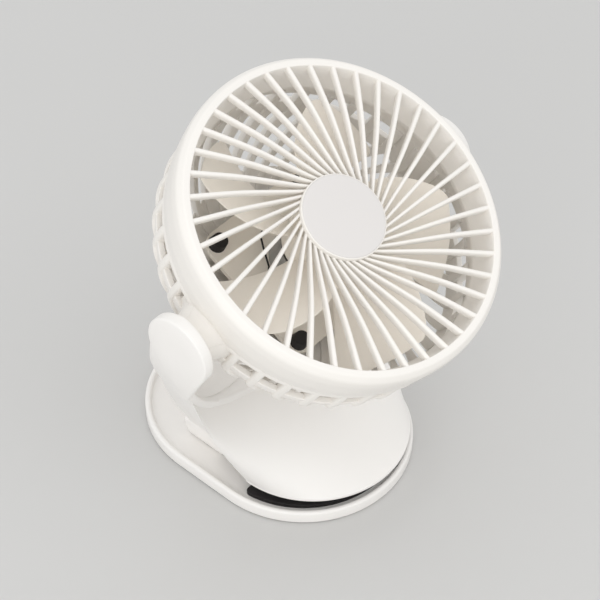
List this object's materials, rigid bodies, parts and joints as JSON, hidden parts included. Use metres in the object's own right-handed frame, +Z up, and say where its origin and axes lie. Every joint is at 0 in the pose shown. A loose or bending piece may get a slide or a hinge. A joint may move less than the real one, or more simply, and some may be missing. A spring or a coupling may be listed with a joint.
{
  "type": "portable clip-on fan",
  "caption": "Round tilting fan with a spiral-ribbed guard in a U-shaped yoke on an oval spring clip base.",
  "frame": {"origin": "middle of the clip base's underside, on the surface that the fan stands on", "axes": "+Z up, the fan and the clip's mouth face -Y, the tilt axis and the clip's hinge run along X"},
  "size_m": [0.168, 0.1635, 0.1883],
  "materials": {
    "white_shell": "fine satin moulded",
    "white_guard": "fine satin moulded",
    "white_cap": "satin",
    "blade_cream": "smooth moulded",
    "cream_plastic": "moulded",
    "button_grey": "satin",
    "light_pipe": "frosted",
    "black_rubber": "matt",
    "grey_rubber": "matt",
    "black_lead": "smooth sleeve",
    "steel": "satin",
    "spring_steel": "drawn wire",
    "zinc_can": "zinc plated",
    "bronze": "sintered",
    "copper_coil": "enamelled winding",
    "cell_wrap": "shrink sleeve",
    "board": "solder mask"
  },
  "bodies": {
    "clip_base": {"lower_jaw": "white_shell", "base_pad": "grey_rubber", "lower_grip_pad": "black_rubber", "hinge_pin": "steel", "clip_spring": "spring_steel"},
    "yoke": {"yoke_body": "white_shell", "upper_grip_pad": "black_rubber", "bottom_cover": "white_shell", "cover_screws": "steel", "battery_cell": "cell_wrap", "circuit_board": "board", "charge_port": "steel", "indicator_light": "light_pipe", "left_arm_cap": "white_shell", "right_arm_cap": "white_shell"},
    "button": {"speed_button": "button_grey"},
    "head": {"front_guard": "white_guard", "hub_cap": "white_cap", "rear_guard": "white_guard", "pivot_pins": "steel", "friction_washers": "black_rubber", "motor_mount": "cream_plastic", "motor_dampers": "black_rubber", "mount_screws": "steel", "motor_can": "zinc_can", "motor_bearings": "bronze", "motor_lead": "black_lead"},
    "rotor": {"fan_blades": "blade_cream", "motor_shaft": "steel", "motor_armature": "copper_coil", "blade_nut": "steel"}
  },
  "joints": [
    {"name": "clip_hinge", "type": "hinge", "parent": "clip_base", "child": "yoke", "pos_m": [0, 0.02, 0.01], "axis": [-1, 0, 0], "range_deg": [0, 26], "stiffness_Nm_per_rad": 0.9, "springref_deg": -28.65, "deforming": ["clip_spring"]},
    {"name": "head_tilt", "type": "hinge", "parent": "yoke", "child": "head", "pos_m": [0, -0.0225, 0.1275], "axis": [1, 0, 0], "range_deg": [-90, 90]},
    {"name": "fan_spin", "type": "hinge", "parent": "head", "child": "rotor", "pos_m": [0, -0.0225, 0.1275], "axis": [0, -0.515, 0.8572], "continuous": true},
    {"name": "button_press", "type": "slide", "parent": "yoke", "child": "button", "axis": [0, -1, 0], "range_m": [0, 0.0012], "stiffness_N_per_m": 900, "springref_m": -0.0006}
  ]
}
